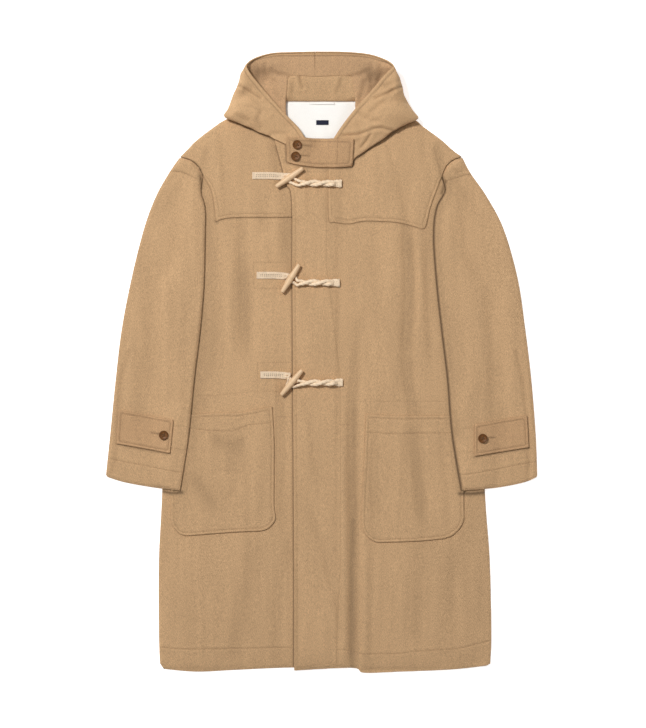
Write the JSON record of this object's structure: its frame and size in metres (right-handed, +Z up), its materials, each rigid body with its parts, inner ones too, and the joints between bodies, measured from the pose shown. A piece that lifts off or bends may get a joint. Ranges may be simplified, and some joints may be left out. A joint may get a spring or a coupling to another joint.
{
  "type": "duffle coat",
  "caption": "Knee-length hooded wool duffle coat laid flat, with toggle and cord fastenings, patch pockets, a throat tab and cuff tabs.",
  "frame": {"origin": "middle of the laid coat, on the surface that it lies on", "axes": "+Y from the hem to the hood, +X towards the wearer's left side, +Z up from the surface"},
  "size_m": [0.798, 1.1465, 0.0484],
  "materials": {
    "wool": "napped twill",
    "cotton": "plain weave",
    "twine": "twisted cord",
    "toggle_wood": "satin",
    "button": "satin",
    "woven_label": "woven"
  },
  "bodies": {
    "root": {"back": "wool", "back_lining": "cotton", "front_right": "wool", "front_left": "wool", "yoke_right": "wool", "yoke_left": "wool", "pocket_right": "wool", "pocket_left": "wool", "sleeve_under_right": "wool", "sleeve_top_right": "wool", "sleeve_under_left": "wool", "sleeve_top_left": "wool", "cuff_tab_right": "wool", "cuff_tab_left": "wool", "hood_right": "wool", "hood_left": "wool", "hood_under": "wool", "neck_band": "wool", "hanger_loop": "cotton", "label": "woven_label", "throat_tab": "wool", "throat_button_1": "button", "throat_button_2": "button", "cuff_button_right": "button", "cuff_button_left": "button", "toggle_1": "toggle_wood", "toggle_tape_1": "twine", "toggle_cord_1": "twine", "toggle_2": "toggle_wood", "toggle_tape_2": "twine", "toggle_cord_2": "twine", "toggle_3": "toggle_wood", "toggle_tape_3": "twine", "toggle_cord_3": "twine"}
  },
  "joints": []
}
